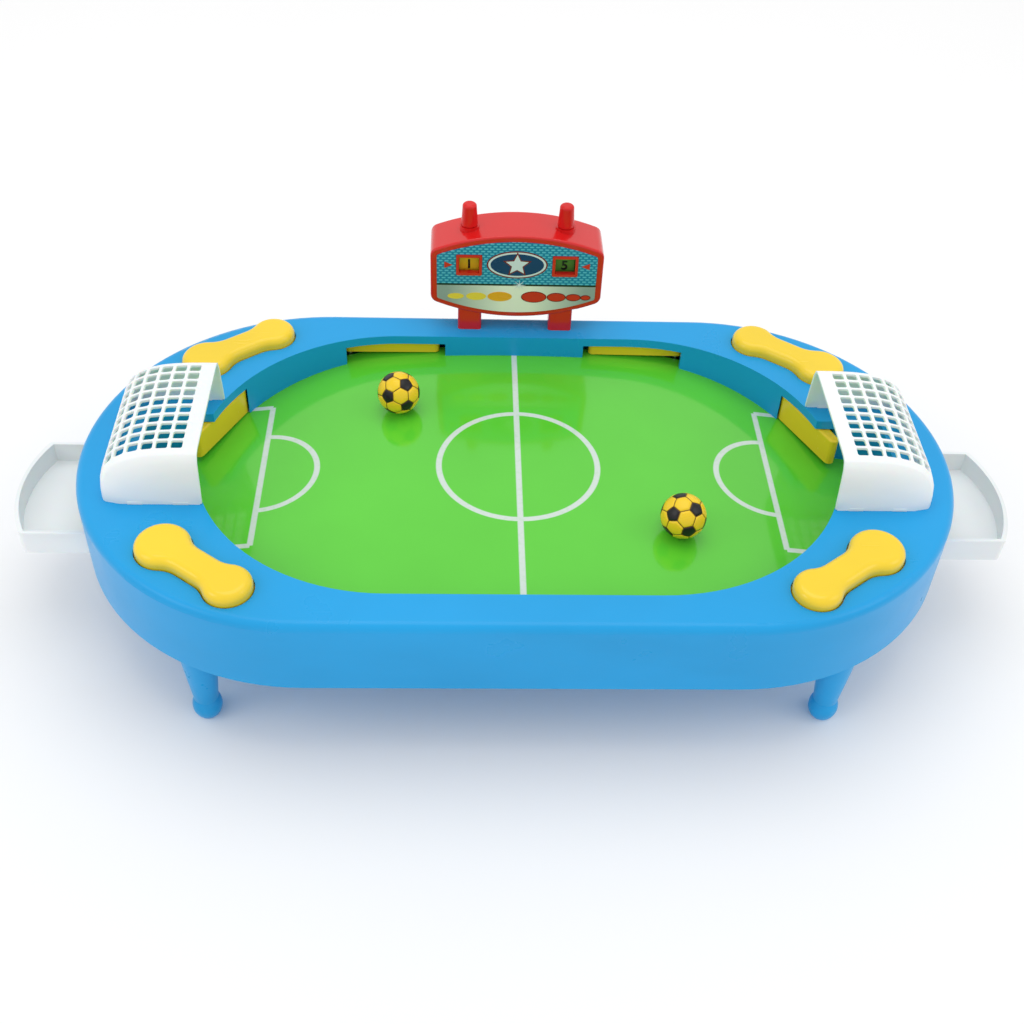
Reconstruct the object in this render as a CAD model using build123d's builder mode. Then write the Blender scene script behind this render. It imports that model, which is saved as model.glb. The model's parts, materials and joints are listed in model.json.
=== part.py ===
from build123d import *

import os
from math import cos, hypot, radians, sin

# Table-top football game, in millimetres, +Z up, scoreboard on the +Y side.
# The pieces are modelled about the middle of the pitch, and moved at the end so
# that the origin is the middle of the whole footprint, on the surface it stands on.

# --- heights above the surface the legs stand on ---
SKIRT_Z = 47.0            # lower edge of the table's side
RIM_Z = 88.0              # flat top of the rim
PITCH_Z = 76.0            # top of the pitch at its crown
LIP_Z = 83.0              # underside of the rim's inner lip, above the paddle windows

# --- table outline: two half circles joined by straight sides ---
TABLE_STRAIGHT = 99.0     # from the middle to each half circle's centre
TABLE_RADIUS = 116.0
WELL_STRAIGHT = 62.0
WELL_RADIUS = 96.0
WALL = 2.4
RIM_ROUND = 4.0
SLOT_GAP = 0.4            # spare room in a slot, over the tab's own size
COVER_GAP = 0.3           # between the base cover and the skirt
RIB_GAP = 0.1             # between the ribs and the pitch board
BASE = 2.4                # thickness of the base cover

# --- pitch: a thin board bent over a large cylinder, so balls roll to the goals ---
PITCH_RADIUS = 1100.0
PITCH_SHEET = 2.4
PITCH_MARGIN = 8.0        # how far the board runs under the rim
CHUTE_X = 206.0           # end of the tongue that runs under the goal
POCKET_X = 187.0          # end of the rim's goal pocket
POCKET_HALF = 27.0

# --- goals ---
GOAL_FRONT_X = 150.0
GOAL_BACK_X = 198.0
GOAL_HALF = 40.0
GOAL_TOP_HALF = 36.5
GOAL_HEIGHT = 28.0
GOAL_SHEET = 1.8
GOAL_EDGE_ROUND = 0.6
NET_ROWS = 10             # across the goal
NET_COLUMNS = 7           # from its front edge down to its back
NET_SPACING = 7.0
NET_START = 11.0          # from the front edge to the first holes' middle, along the roof
ARC_STEP = 0.001          # radians, in walking along the roof
NET_HOLE = (5.0, 4.7)
NET_HOLE_ROUND = 1.0
TAB = (7.0, GOAL_SHEET, 5.0)
TAB_XS = (160.0, 181.0)
TAB_Y = GOAL_HALF - GOAL_SHEET / 2

# --- ball trays ---
TRAY_IN_X = 207.0
TRAY_OUT_X = 250.0
TRAY_CORNER_X = 242.0
TRAY_HALF = 34.0
TRAY_Z = SKIRT_Z + BASE   # its tongue lies on the base cover
TRAY_TOP_Z = 62.4
TRAY_WALL = 1.8
TRAY_ROUND = 3.0
TRAY_GAP = 0.5            # spare room round the tray, on each side
TONGUE_X = 184.0          # inner end of the tray's tongue, under the pitch
TONGUE_HALF = 26.5

# --- buttons ---
BUTTON_X, BUTTON_Y = 147.0, 81.5
BUTTON_TURN = 36.9        # degrees between the button's long axis and the X axis
LOBE_SPACING = 20.0       # from the button's middle to each lobe's centre
GOAL_LOBE, SIDE_LOBE, WAIST = 13.0, 11.4, 8.0
WAIST_BLEND = 14.0
BUTTON_PROUD = 6.0
BUTTON_GAP = 0.6
FLANGE = (2.0, 2.4)       # how far it stands out, and its thickness
FLANGE_GAP = 0.4          # under the top of the table
BUTTON_ROUND = 4.0
BUTTON_HOLLOW_Z = 89.6    # roof of the space inside
POST_TOP_Z = 91.0         # where the spring post runs into the button's top
SPRING_TOP_Z = 78.0
SPRING_FOOT_Z = 60.0
SPRING_RADIUS = 4.2
SPRING_WIRE = 0.55        # radius of the wire
SPRING_TURNS = 7
SPRING_SEATING = 1.2      # wire radii between a spring's end and the wire's middle
SEAT_RADIUS = 5.4
GUIDE_RADIUS = 2.6
GUIDE_LENGTH = 4.5

# --- paddles ---
HUB_RADIUS = 4.0
TIP_RADIUS = 2.7
PIN_RADIUS = 1.5
PIN_BORE = 1.85
SIDE_HUB = (91.0, 102.0)
SIDE_TIP = (44.0, 101.3)
GOAL_HUB = (146.2, 55.7)
GOAL_TIP = (162.5, 20.2)
PADDLE_TOP_Z = 82.4
PADDLE_ROUND = 1.0
PADDLE_GAP = 1.2          # round a goal paddle, in the wall it comes through
SIDE_PADDLE_Z = 75.7
GOAL_PADDLE_Z = 67.4
WINDOW_X = (38.0, 92.0)
WINDOW_Y = (80.0, 104.0)

# --- legs ---
LEG_X, LEG_Y = 150.0, 92.0
LEG_TOP_RADIUS = 9.0
LEG_MIDDLE_RADIUS, LEG_MIDDLE_Z = 7.2, 26.0
LEG_NECK_RADIUS, LEG_NECK_Z = 5.8, 11.5
FOOT_RADIUS, FOOT_Z = 7.1, 5.6
FOOT_FLAT_RADIUS = 5.0
PLUG_RADIUS, PLUG_HEIGHT = 5.0, 10.0

# --- screws that hold the base cover to the upper shell ---
SCREWS = [(0, 109), (70, 109), (-70, 109), (198, 38), (-198, 38)]
BOSS_RADIUS = 3.2
SHANK_RADIUS, SHANK_LENGTH = 1.25, 9.0
HEAD_RADIUS, HEAD_HEIGHT = 2.8, 1.8
PILOT_SPARE = 1.0         # the pilot hole is this much deeper than the screw

# --- scoreboard ---
FACE_Y = 103.0            # front of the housing
SPLIT_Y = 122.0
REAR_Y = 129.0
HOUSING_HALF = 46.0
HOUSING_Z = (97.0, 107.0, 138.0, 147.5) # bottom, lower corners, upper corners, top
HOUSING_WALL = 2.0
CORNER_ROUND = 5.0
FRONT_ROUND, REAR_ROUND = 1.2, 1.8
FOOT_X, FOOT_Y = 24.8, 108.5
FOOT_SIZE = (12.8, 10.0)
FOOT_ROUND = 1.5
FOOT_PLUG = (10.4, 7.4, 6.0)
DRUM_X, DRUM_Y = 25.5, 116.0
DRUM_RADIUS = 10.3
DRUM_Z = (123.0, 137.0)
WINDOW_Z = 130.0
SCORE_WINDOW = (10.6, 9.4)
SCORE_FRAME = (13.6, 12.4)
FRAME_ROUND = 1.0
FRAME_PROUD = 1.0
LABEL_MARGIN = 3.4
LABEL_SHEET = 0.5
LABEL_GAP = 0.1           # round the window frames
KNOB_Z = (146.9, 159.0)
KNOB_RADIUS = (4.4, 3.7)
COLLAR_RADIUS, COLLAR_Z = 5.2, 146.5
COLLAR_DEPTH = 6.0        # down into the housing's top
KNOB_ROUND = 1.6
SHAFT_RADIUS = 3.0
SHAFT_GAP = 0.4
PIVOT_RADIUS, PIVOT_Z, PIVOT_SEAT_Z = 2.0, 106.0, 109.0
PIVOT_SEAT_DEPTH = 8.0    # down into the housing's floor
PIVOT_GAP = 1.0           # under the end of the pivot

# --- balls ---
BALL_RADIUS = 11.0
BALL_GAP = 0.35
BALLS = {"ball_left": (-61.0, 49.5), "ball_right": (76.5, -41.0)}

CORNERS = {
    "front_left": (-1, -1),
    "front_right": (1, -1),
    "rear_left": (-1, 1),
    "rear_right": (1, 1),
}
ENDS = {"left": -1, "right": 1}
BASE_TOP_Z = SKIRT_Z + BASE
PLATE_Z = RIM_Z - WALL
FLANGE_Z = PLATE_Z - FLANGE_GAP - FLANGE[1]
FOOTPRINT_MIDDLE_Y = (REAR_Y - TABLE_RADIUS) / 2
LONG = 300.0              # longer than any piece is from the middle

pieces = {}


def keep(piece, name):
    """Remember a finished piece under the name of its node."""
    pieces[name] = piece


def pitch_height(x):
    """Height of the pitch's top surface at a distance x from the halfway line."""
    return PITCH_Z - PITCH_RADIUS + (PITCH_RADIUS**2 - x**2) ** 0.5


def under_crown(radius_change, straight, radius, tongue_x, tongue_half):
    """Everything under a crowned surface, inside a stadium outline with two tongues."""
    with BuildPart() as volume:
        with BuildSketch(Plane.XY.offset(TRAY_Z)):
            SlotCenterToCenter(2 * straight, 2 * radius)
            Rectangle(2 * tongue_x, 2 * tongue_half)
        extrude(amount=PITCH_Z)
        with BuildSketch(Plane.XZ):
            with Locations((0, PITCH_Z - PITCH_RADIUS)):
                Circle(PITCH_RADIUS + radius_change)
        extrude(amount=LONG, both=True, mode=Mode.INTERSECT)
    return volume.part


def bone(grow):
    """Outline of a button: two lobes and a narrower waist."""
    with BuildSketch() as outline:
        with Locations((-LOBE_SPACING, 0)):
            Circle(GOAL_LOBE + grow)
        with Locations((LOBE_SPACING, 0)):
            Circle(SIDE_LOBE + grow)
        Rectangle(2 * LOBE_SPACING, 2 * (WAIST + grow))
        fillet(outline.vertices(), WAIST_BLEND)
    return outline.sketch


def button_plane(side_x, side_y, height):
    """A level plane at a button's middle, its x axis running from goal lobe to side lobe."""
    turn = radians(BUTTON_TURN)
    along = (-side_x * cos(turn), side_y * sin(turn), 0)
    return Plane(origin=(side_x * BUTTON_X, side_y * BUTTON_Y, height), x_dir=along, z_dir=(0, 0, 1))


def housing_outline(shrink):
    """Barrel shape of the scoreboard seen from the front."""
    low, low_corner, high_corner, high = HOUSING_Z
    left_low = (-HOUSING_HALF, low_corner)
    right_low = (HOUSING_HALF, low_corner)
    left_high = (-HOUSING_HALF, high_corner)
    right_high = (HOUSING_HALF, high_corner)
    with BuildSketch() as outline:
        with BuildLine():
            ThreePointArc(left_low, (0, low), right_low)
            Line(right_low, right_high)
            ThreePointArc(right_high, (0, high), left_high)
            Line(left_high, left_low)
        make_face()
        fillet(outline.vertices(), CORNER_ROUND)
        if shrink:
            offset(amount=-shrink, mode=Mode.REPLACE)
    return outline.sketch


def facing_front(y):
    """The upright plane at y, with local x along X and local y along Z."""
    return Plane.XZ.offset(-y)


def mirrored(points, side_x, side_y):
    """The same points in another quarter of the table."""
    return [(side_x * x, side_y * y) for x, y in points]


# --- pitch board ---
BOARD_RADIUS = WELL_RADIUS + PITCH_MARGIN
TONGUE_WALL = POCKET_HALF + WALL
crown = under_crown(0, WELL_STRAIGHT, BOARD_RADIUS, CHUTE_X, TONGUE_WALL)
below_board = under_crown(-PITCH_SHEET, TABLE_STRAIGHT, TABLE_RADIUS, LONG, TONGUE_WALL + WALL)

with BuildPart() as pitch_board:
    add(crown)
    add(below_board, mode=Mode.SUBTRACT)
    with BuildSketch(Plane.XY.offset(TRAY_Z)):
        for corner in CORNERS.values():
            with Locations(*mirrored([GOAL_HUB], *corner)):
                Circle(PIN_RADIUS + BUTTON_GAP)
    extrude(amount=PITCH_Z, mode=Mode.SUBTRACT)
keep(pitch_board, "pitch_board")

# --- upper shell: skirt, rim, well wall, windows, button wells and screw bosses ---
with BuildPart() as upper_shell:
    with BuildSketch(Plane.XY.offset(SKIRT_Z)):
        SlotCenterToCenter(2 * TABLE_STRAIGHT, 2 * TABLE_RADIUS)
    extrude(amount=RIM_Z - SKIRT_Z)
    fillet(upper_shell.faces().sort_by(Axis.Z)[-1].edges(), RIM_ROUND)
    with BuildSketch(Plane.XY.offset(SKIRT_Z)):
        SlotCenterToCenter(2 * TABLE_STRAIGHT, 2 * (TABLE_RADIUS - WALL))
    extrude(amount=PLATE_Z - SKIRT_Z, mode=Mode.SUBTRACT)
    # wall round the well and along both ball chutes
    with BuildSketch(Plane.XY.offset(BASE_TOP_Z)):
        SlotCenterToCenter(2 * WELL_STRAIGHT, 2 * (WELL_RADIUS + WALL))
        Rectangle(2 * CHUTE_X, 2 * TONGUE_WALL)
    extrude(amount=PLATE_Z - BASE_TOP_Z)
    # screw bosses
    with BuildSketch(Plane.XY.offset(BASE_TOP_Z)):
        for side_y in (-1, 1):
            with Locations(*mirrored(SCREWS, 1, side_y)):
                Circle(BOSS_RADIUS)
    extrude(amount=PLATE_Z - BASE_TOP_Z)
    # the well itself, open to the top
    with BuildSketch(Plane.XY.offset(SKIRT_Z)):
        SlotCenterToCenter(2 * WELL_STRAIGHT, 2 * WELL_RADIUS)
        Rectangle(2 * POCKET_X, 2 * POCKET_HALF)
    extrude(amount=RIM_Z - SKIRT_Z, mode=Mode.SUBTRACT)
    # ball way out of each pocket, through the skirt, and the wider slot for the tray
    with BuildSketch(Plane.XY.offset(TRAY_Z)):
        Rectangle(2 * LONG, 2 * POCKET_HALF)
    extrude(amount=LIP_Z - TRAY_Z, mode=Mode.SUBTRACT)
    with BuildSketch(Plane.XY.offset(TRAY_Z)):
        with Locations((TRAY_OUT_X, 0), (-TRAY_OUT_X, 0)):
            Rectangle(2 * (TRAY_OUT_X - CHUTE_X), 2 * (TRAY_HALF + TRAY_GAP))
    extrude(amount=TRAY_TOP_Z + TRAY_GAP - TRAY_Z, mode=Mode.SUBTRACT)
    # paddle windows under the lip
    with BuildSketch(Plane.XY.offset(SKIRT_Z)):
        for side_x, side_y in CORNERS.values():
            with Locations((side_x * sum(WINDOW_X) / 2, side_y * sum(WINDOW_Y) / 2)):
                Rectangle(WINDOW_X[1] - WINDOW_X[0], WINDOW_Y[1] - WINDOW_Y[0])
            hub, tip = mirrored([GOAL_HUB, GOAL_TIP], side_x, side_y)
            with BuildLine():
                Line(hub, tip)
            trace(line_width=2 * (HUB_RADIUS + PADDLE_GAP))
            with Locations(hub):
                Circle(HUB_RADIUS + PADDLE_GAP)
    extrude(amount=LIP_Z - SKIRT_Z, mode=Mode.SUBTRACT)
    add(crown, mode=Mode.SUBTRACT)
    # button wells
    for corner in CORNERS.values():
        with BuildSketch(button_plane(*corner, PLATE_Z)):
            add(bone(BUTTON_GAP))
        extrude(amount=WALL, mode=Mode.SUBTRACT)
    # slots for the goal tabs and the scoreboard feet, and the screw pilot holes
    with BuildSketch(Plane.XY.offset(PLATE_Z)):
        for corner in CORNERS.values():
            with Locations(*mirrored([(x, TAB_Y) for x in TAB_XS], *corner)):
                Rectangle(TAB[0] + SLOT_GAP, TAB[1] + SLOT_GAP)
        with Locations((-FOOT_X, FOOT_Y), (FOOT_X, FOOT_Y)):
            Rectangle(FOOT_PLUG[0] + SLOT_GAP, FOOT_PLUG[1] + SLOT_GAP)
    extrude(amount=WALL, mode=Mode.SUBTRACT)
    with BuildSketch(Plane.XY.offset(BASE_TOP_Z)):
        for side_y in (-1, 1):
            with Locations(*mirrored(SCREWS, 1, side_y)):
                Circle(SHANK_RADIUS)
    extrude(amount=SHANK_LENGTH, mode=Mode.SUBTRACT)
keep(upper_shell, "upper_shell")

# --- base cover: closes the table from below, carries legs, springs and pitch ribs ---
RIB_YS = (-55.0, 0.0, 55.0)
RIB_HALF_X = 138.0
rib_top = under_crown(-PITCH_SHEET - RIB_GAP, TABLE_STRAIGHT, TABLE_RADIUS, POCKET_X, POCKET_HALF)

with BuildPart() as ribs:
    with BuildSketch(Plane.XY.offset(BASE_TOP_Z)):
        for rib_y in RIB_YS:
            with Locations((0, rib_y)):
                Rectangle(2 * RIB_HALF_X, WALL)
        Rectangle(WALL, 2 * RIB_YS[-1])
    extrude(amount=PITCH_Z - BASE_TOP_Z)
    add(rib_top, mode=Mode.INTERSECT)

with BuildPart() as base_cover:
    with BuildSketch(Plane.XY.offset(SKIRT_Z)):
        SlotCenterToCenter(2 * TABLE_STRAIGHT, 2 * (TABLE_RADIUS - WALL - COVER_GAP))
        for corner in CORNERS.values():
            with Locations(*mirrored([(LEG_X, LEG_Y)], *corner)):
                Circle(PLUG_RADIUS, mode=Mode.SUBTRACT)
        for side_y in (-1, 1):
            with Locations(*mirrored(SCREWS, 1, side_y)):
                Circle(SHANK_RADIUS, mode=Mode.SUBTRACT)
    extrude(amount=BASE)
    add(ribs.part)
    for corner in CORNERS.values():
        with BuildSketch(button_plane(*corner, BASE_TOP_Z)):
            Circle(SEAT_RADIUS)
        extrude(amount=SPRING_FOOT_Z - BASE_TOP_Z)
        with BuildSketch(button_plane(*corner, SPRING_FOOT_Z)):
            Circle(GUIDE_RADIUS)
        extrude(amount=GUIDE_LENGTH)
keep(base_cover, "base_cover")

# --- goals: a curved net roof with two drafted sides, open to the pitch and below ---


def goal_blank(inset):
    """The goal's outer form, or with an inset the space inside it."""
    back = GOAL_BACK_X - inset
    top = RIM_Z + GOAL_HEIGHT - inset
    with BuildPart() as blank:
        with BuildSketch(Plane.XZ):
            with Locations((GOAL_FRONT_X, RIM_Z)):
                Ellipse(back - GOAL_FRONT_X, top - RIM_Z)
            with Locations((GOAL_FRONT_X + LONG / 2, RIM_Z + LONG / 2)):
                Rectangle(LONG, LONG, mode=Mode.INTERSECT)
        extrude(amount=GOAL_HALF, both=True)
        with BuildSketch(Plane.YZ):
            with BuildLine():
                Polyline(
                    (-GOAL_HALF + inset, RIM_Z),
                    (GOAL_HALF - inset, RIM_Z),
                    (GOAL_TOP_HALF - inset, RIM_Z + GOAL_HEIGHT),
                    (-GOAL_TOP_HALF + inset, RIM_Z + GOAL_HEIGHT),
                    close=True,
                )
            make_face()
        extrude(amount=LONG, mode=Mode.INTERSECT)
    return blank.part


def net_turns():
    """Angles round the curved roof, from its front edge, that space the holes evenly along it."""
    wide = GOAL_BACK_X - GOAL_FRONT_X
    travelled = 0.0
    turn = 0.0
    found = []
    while len(found) < NET_COLUMNS:
        travelled += ARC_STEP * hypot(wide * cos(turn), GOAL_HEIGHT * sin(turn))
        turn += ARC_STEP
        if travelled >= NET_START + len(found) * NET_SPACING:
            found.append(turn)
    return found


def net_plane(turn):
    """A plane that lies on the curved roof, at an angle round it from the front edge."""
    wide = GOAL_BACK_X - GOAL_FRONT_X
    outward = (sin(turn) / wide, 0, cos(turn) / GOAL_HEIGHT)
    on_roof = (GOAL_FRONT_X + wide * sin(turn), 0, RIM_Z + GOAL_HEIGHT * cos(turn))
    return Plane(origin=on_roof, x_dir=(0, 1, 0), z_dir=outward)


with BuildPart() as goal_right:
    add(goal_blank(0))
    fillet(goal_right.edges().filter_by(Axis.Y).group_by(Axis.Z)[-1], GOAL_EDGE_ROUND)
    add(goal_blank(GOAL_SHEET), mode=Mode.SUBTRACT)
    for turn in net_turns():
        with BuildSketch(net_plane(turn)):
            with GridLocations(NET_SPACING, 1, NET_ROWS, 1):
                RectangleRounded(*NET_HOLE, NET_HOLE_ROUND)
        extrude(amount=2 * GOAL_SHEET, both=True, mode=Mode.SUBTRACT)
    with BuildSketch(Plane.XY.offset(RIM_Z)):
        for side_y in (-1, 1):
            with Locations(*mirrored([(x, TAB_Y) for x in TAB_XS], 1, side_y)):
                Rectangle(TAB[0], TAB[1])
    extrude(amount=-TAB[2])
keep(goal_right, "goal_right")

with BuildPart() as goal_left:
    add(mirror(goal_right.part, about=Plane.YZ, mode=Mode.PRIVATE))
keep(goal_left, "goal_left")

# --- ball trays: shallow pans whose tongue lies on the base cover, open towards the chute ---


def tray_outline(inset, inner_x):
    """Outline of the pan, with a bowed outer edge."""
    half = TRAY_HALF - inset
    with BuildSketch() as outline:
        with BuildLine():
            Line((inner_x, -half), (TRAY_CORNER_X - inset, -half))
            ThreePointArc(
                (TRAY_CORNER_X - inset, -half),
                (TRAY_OUT_X - inset, 0),
                (TRAY_CORNER_X - inset, half),
            )
            Line((TRAY_CORNER_X - inset, half), (inner_x, half))
            Line((inner_x, half), (inner_x, -half))
        make_face()
    return outline.sketch


with BuildPart() as tray_right:
    with BuildSketch(Plane.XY.offset(TRAY_Z)):
        add(tray_outline(0, TRAY_IN_X))
    extrude(amount=TRAY_TOP_Z - TRAY_Z)
    fillet(tray_right.edges().filter_by(Axis.Z).group_by(Axis.X)[-1], TRAY_ROUND)
    with BuildSketch(Plane.XY.offset(TRAY_Z + TRAY_WALL)):
        add(tray_outline(TRAY_WALL, TRAY_IN_X - TRAY_WALL))
    extrude(amount=TRAY_TOP_Z - TRAY_Z, mode=Mode.SUBTRACT)
    with BuildSketch(Plane.XY.offset(TRAY_Z)):
        with Locations(((TONGUE_X + TRAY_IN_X) / 2, 0)):
            Rectangle(TRAY_IN_X - TONGUE_X, 2 * TONGUE_HALF)
    extrude(amount=TRAY_WALL)
keep(tray_right, "tray_right")

with BuildPart() as tray_left:
    add(mirror(tray_right.part, about=Plane.YZ, mode=Mode.PRIVATE))
keep(tray_left, "tray_left")

# --- pieces that repeat in the four corners ---
for place, (side_x, side_y) in CORNERS.items():
    with BuildPart() as leg:
        with BuildSketch(Plane.XZ):
            with BuildLine():
                Polyline((0, SKIRT_Z + PLUG_HEIGHT), (PLUG_RADIUS, SKIRT_Z + PLUG_HEIGHT),
                         (PLUG_RADIUS, SKIRT_Z), (LEG_TOP_RADIUS, SKIRT_Z))
                Spline((LEG_TOP_RADIUS, SKIRT_Z), (LEG_MIDDLE_RADIUS, LEG_MIDDLE_Z),
                       (LEG_NECK_RADIUS, LEG_NECK_Z))
                ThreePointArc((LEG_NECK_RADIUS, LEG_NECK_Z), (FOOT_RADIUS, FOOT_Z),
                              (FOOT_FLAT_RADIUS, 0))
                Polyline((FOOT_FLAT_RADIUS, 0), (0, 0), (0, SKIRT_Z + PLUG_HEIGHT))
            make_face()
        revolve(axis=Axis.Z)
    leg.part.move(Location((side_x * LEG_X, side_y * LEG_Y, 0)))
    keep(leg, f"leg_{place}")

    with BuildPart() as button:
        with BuildSketch(button_plane(side_x, side_y, FLANGE_Z)):
            add(bone(0))
        extrude(amount=RIM_Z + BUTTON_PROUD - FLANGE_Z)
        fillet(button.faces().sort_by(Axis.Z)[-1].edges(), BUTTON_ROUND)
        with BuildSketch(button_plane(side_x, side_y, FLANGE_Z)):
            add(bone(FLANGE[0]))
        extrude(amount=FLANGE[1])
        with BuildSketch(button_plane(side_x, side_y, FLANGE_Z)):
            add(bone(-WALL))
        extrude(amount=BUTTON_HOLLOW_Z - FLANGE_Z, mode=Mode.SUBTRACT)
        with BuildSketch(button_plane(side_x, side_y, SPRING_TOP_Z)):
            Circle(SEAT_RADIUS)
        extrude(amount=POST_TOP_Z - SPRING_TOP_Z)
        with BuildSketch(button_plane(side_x, side_y, SPRING_TOP_Z)):
            Circle(GUIDE_RADIUS)
        extrude(amount=-GUIDE_LENGTH)
    keep(button, f"button_{place}")

    with BuildPart() as spring:
        turns_height = SPRING_TOP_Z - SPRING_FOOT_Z - 2 * SPRING_SEATING * SPRING_WIRE
        with BuildLine() as coil:
            Helix(pitch=turns_height / SPRING_TURNS, height=turns_height, radius=SPRING_RADIUS)
        with BuildSketch(Plane(origin=coil.line @ 0, z_dir=coil.line % 0)):
            Circle(SPRING_WIRE)
        sweep(is_frenet=True)
    spring_foot = SPRING_FOOT_Z + SPRING_SEATING * SPRING_WIRE
    spring.part.move(Location((side_x * BUTTON_X, side_y * BUTTON_Y, spring_foot)))
    keep(spring, f"button_spring_{place}")

    for kind, hub, tip, low in (
        ("side", SIDE_HUB, SIDE_TIP, SIDE_PADDLE_Z),
        ("goal", GOAL_HUB, GOAL_TIP, GOAL_PADDLE_Z),
    ):
        hub_xy, tip_xy = mirrored([hub, tip], side_x, side_y)
        with BuildPart() as paddle:
            with BuildSketch(Plane.XY.offset(low)):
                with Locations(hub_xy):
                    Circle(HUB_RADIUS)
                with Locations(tip_xy):
                    Circle(TIP_RADIUS)
                make_hull()
            extrude(amount=PADDLE_TOP_Z - low)
            fillet(paddle.faces().sort_by(Axis.Z)[-1].edges(), PADDLE_ROUND)
            with BuildSketch(Plane.XY.offset(low)):
                with Locations(hub_xy):
                    Circle(PIN_BORE)
            extrude(amount=PADDLE_TOP_Z - low, mode=Mode.SUBTRACT)
        keep(paddle, f"{kind}_paddle_{place}")

# --- pins and screws: identical fasteners, one node each ---
with BuildPart() as paddle_pins:
    with BuildSketch(Plane.XY.offset(BASE_TOP_Z)):
        for corner in CORNERS.values():
            with Locations(*mirrored([SIDE_HUB, GOAL_HUB], *corner)):
                Circle(PIN_RADIUS)
    extrude(amount=PLATE_Z - BASE_TOP_Z)
keep(paddle_pins, "paddle_pins")

with BuildPart() as case_screws:
    for side_y in (-1, 1):
        with BuildSketch(Plane.XY.offset(SKIRT_Z)):
            with Locations(*mirrored(SCREWS, 1, side_y)):
                Circle(SHANK_RADIUS)
        extrude(amount=BASE + SHANK_LENGTH - PILOT_SPARE)
        with BuildSketch(Plane.XY.offset(SKIRT_Z)):
            with Locations(*mirrored(SCREWS, 1, side_y)):
                Circle(HEAD_RADIUS)
        extrude(amount=-HEAD_HEIGHT)
keep(case_screws, "case_screws")

# --- scoreboard ---
DRUM_XS = (-DRUM_X, DRUM_X)

with BuildPart() as scoreboard_front:
    with BuildSketch(facing_front(FACE_Y)):
        add(housing_outline(0))
    extrude(amount=FACE_Y - SPLIT_Y)
    fillet(scoreboard_front.faces().sort_by(Axis.Y)[0].edges(), FRONT_ROUND)
    # collars on top for the knobs, and feet that stand on the rim
    with BuildSketch(Plane.XY.offset(COLLAR_Z)):
        with Locations(*[(x, DRUM_Y) for x in DRUM_XS]):
            Circle(COLLAR_RADIUS)
    extrude(amount=-COLLAR_DEPTH)
    with BuildSketch(Plane.XY.offset(RIM_Z)):
        with Locations((-FOOT_X, FOOT_Y), (FOOT_X, FOOT_Y)):
            RectangleRounded(*FOOT_SIZE, FOOT_ROUND)
    extrude(amount=HOUSING_Z[1] - RIM_Z)
    with BuildSketch(facing_front(FACE_Y + HOUSING_WALL)):
        add(housing_outline(HOUSING_WALL))
    extrude(amount=FACE_Y - SPLIT_Y, mode=Mode.SUBTRACT)
    with BuildSketch(Plane.XY.offset(RIM_Z)):
        with Locations((-FOOT_X, FOOT_Y), (FOOT_X, FOOT_Y)):
            Rectangle(FOOT_PLUG[0], FOOT_PLUG[1])
    extrude(amount=-FOOT_PLUG[2])
    # raised frames round the score windows
    with BuildSketch(facing_front(FACE_Y + HOUSING_WALL)):
        with Locations(*[(x, WINDOW_Z) for x in DRUM_XS]):
            RectangleRounded(*SCORE_FRAME, FRAME_ROUND)
    extrude(amount=HOUSING_WALL + FRAME_PROUD)
    with BuildSketch(facing_front(FACE_Y + HOUSING_WALL)):
        with Locations(*[(x, WINDOW_Z) for x in DRUM_XS]):
            Rectangle(*SCORE_WINDOW)
    extrude(amount=HOUSING_WALL + FRAME_PROUD, mode=Mode.SUBTRACT)
    # pivot seats on the floor of the housing, and the bores
    with BuildSketch(Plane.XY.offset(PIVOT_SEAT_Z)):
        with Locations(*[(x, DRUM_Y) for x in DRUM_XS]):
            Circle(COLLAR_RADIUS)
    extrude(amount=-PIVOT_SEAT_DEPTH)
    with BuildSketch(Plane.XY.offset(PIVOT_Z - PIVOT_GAP)):
        with Locations(*[(x, DRUM_Y) for x in DRUM_XS]):
            Circle(PIVOT_RADIUS + SHAFT_GAP)
    extrude(amount=PIVOT_SEAT_Z - PIVOT_Z + PIVOT_GAP, mode=Mode.SUBTRACT)
    with BuildSketch(Plane.XY.offset(DRUM_Z[1])):
        with Locations(*[(x, DRUM_Y) for x in DRUM_XS]):
            Circle(SHAFT_RADIUS + SHAFT_GAP)
    extrude(amount=COLLAR_Z - DRUM_Z[1], mode=Mode.SUBTRACT)
keep(scoreboard_front, "scoreboard_front")

with BuildPart() as scoreboard_back:
    with BuildSketch(facing_front(SPLIT_Y)):
        add(housing_outline(0))
    extrude(amount=SPLIT_Y - REAR_Y)
    fillet(scoreboard_back.faces().sort_by(Axis.Y)[-1].edges(), REAR_ROUND)
    with BuildSketch(facing_front(SPLIT_Y)):
        add(housing_outline(HOUSING_WALL))
    extrude(amount=SPLIT_Y - REAR_Y + HOUSING_WALL, mode=Mode.SUBTRACT)
keep(scoreboard_back, "scoreboard_back")

with BuildPart() as scoreboard_label:
    with BuildSketch(facing_front(FACE_Y)):
        add(housing_outline(LABEL_MARGIN))
        with Locations(*[(x, WINDOW_Z) for x in DRUM_XS]):
            Rectangle(SCORE_FRAME[0] + 2 * LABEL_GAP, SCORE_FRAME[1] + 2 * LABEL_GAP, mode=Mode.SUBTRACT)
    extrude(amount=LABEL_SHEET)
keep(scoreboard_label, "scoreboard_label")

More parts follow.
